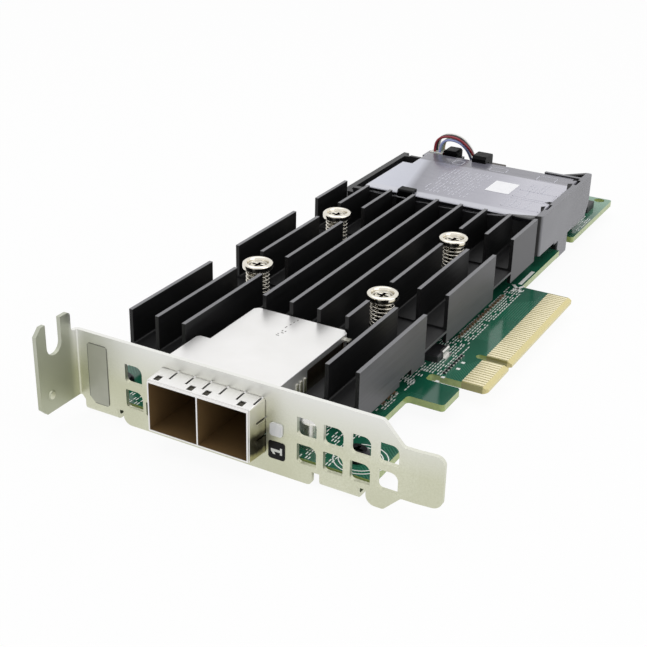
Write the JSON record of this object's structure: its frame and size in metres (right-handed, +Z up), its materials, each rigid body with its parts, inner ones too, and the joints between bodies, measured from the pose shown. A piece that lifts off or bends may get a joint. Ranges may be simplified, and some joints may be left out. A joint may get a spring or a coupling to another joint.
{
  "type": "raid controller card",
  "caption": "Low-profile PCIe storage controller card with a finned black heat sink, external ports in a metal cage, a slotted bracket and a backup battery tray.",
  "frame": {"origin": "middle of the whole card's box, at the height of the bracket's lower edge", "axes": "+X along the bracket from its screw tab to the edge connector's side, +Y from the bracket to the rear of the board, +Z up from the board to its components"},
  "size_m": [0.0812, 0.1794, 0.0228],
  "materials": {
    "green_board": "solder mask over glass fibre",
    "gold_contacts": "gold plate",
    "zinc_sheet": "satin zinc plate",
    "tinplate": "bright tin plate",
    "black_anodised": "black anodised, satin",
    "nickel_screws": "nickel plate",
    "spring_steel": "nickel plate",
    "steel_nuts": "zinc plate",
    "black_screws": "black oxide",
    "black_housing": "moulded, satin",
    "port_gold": "gold plate",
    "clear_pipe": "clear, polished",
    "lamp_white": "cast resin",
    "plate_print": "printed film",
    "plate_blank": "printed film",
    "substrate_green": "solder mask",
    "lid_nickel": "nickel plate",
    "pad_grey": "soft, matt",
    "chip_black": "moulded epoxy",
    "ferrite": "pressed powder",
    "capacitor_can": "bare can",
    "capacitor_black": "moulded epoxy",
    "terminal_tin": "bright tin plate",
    "chip_ceramic": "fired ceramic",
    "crystal_can": "nickel plate",
    "tray_grey": "moulded, satin",
    "cell_foil": "laminated foil",
    "wrap_film": "translucent film",
    "sticker_white": "coated paper",
    "socket_clear": "natural nylon",
    "lead_red": "insulation",
    "lead_black": "insulation",
    "lead_white": "insulation",
    "lead_blue": "insulation",
    "lead_green": "insulation",
    "lead_tan": "insulation"
  },
  "bodies": {
    "root": {"battery_board": "green_board", "battery_cells": "cell_foil", "battery_lead_black": "lead_black", "battery_lead_blue": "lead_blue", "battery_lead_green": "lead_green", "battery_lead_red": "lead_red", "battery_lead_tan": "lead_tan", "battery_lead_white": "lead_white", "battery_plug": "black_housing", "battery_socket": "socket_clear", "battery_tray": "tray_grey", "battery_wrap": "wrap_film", "blank_sticker": "sticker_white", "board": "green_board", "board_header": "black_housing", "bracket": "zinc_sheet", "bracket_screws": "black_screws", "cage_collar": "tinplate", "can_capacitor": "capacitor_can", "capacitor_terminal": "terminal_tin", "charger_chip": "chip_black", "clock_crystal": "crystal_can", "controller_lid": "lid_nickel", "controller_memory_chip": "chip_black", "controller_substrate": "substrate_green", "edge_contacts": "gold_contacts", "flash_chip": "chip_black", "front_latch": "black_housing", "heat_sink": "black_anodised", "heat_sink_nuts": "steel_nuts", "heat_sink_screws": "nickel_screws", "light_pipe": "clear_pipe", "memory_chips": "chip_black", "name_plate": "plate_blank", "polymer_capacitor": "capacitor_black", "port_1_receptacle": "black_housing", "port_2_receptacle": "black_housing", "port_cage": "tinplate", "port_contacts": "port_gold", "port_number_plate": "plate_print", "power_inductors": "ferrite", "power_regulators": "chip_black", "rear_latch": "black_housing", "row_capacitors": "chip_ceramic", "row_resistors": "chip_black", "screw_springs": "spring_steel", "status_led": "lamp_white", "thermal_pad": "pad_grey", "underside_capacitors": "chip_ceramic"}
  },
  "joints": []
}
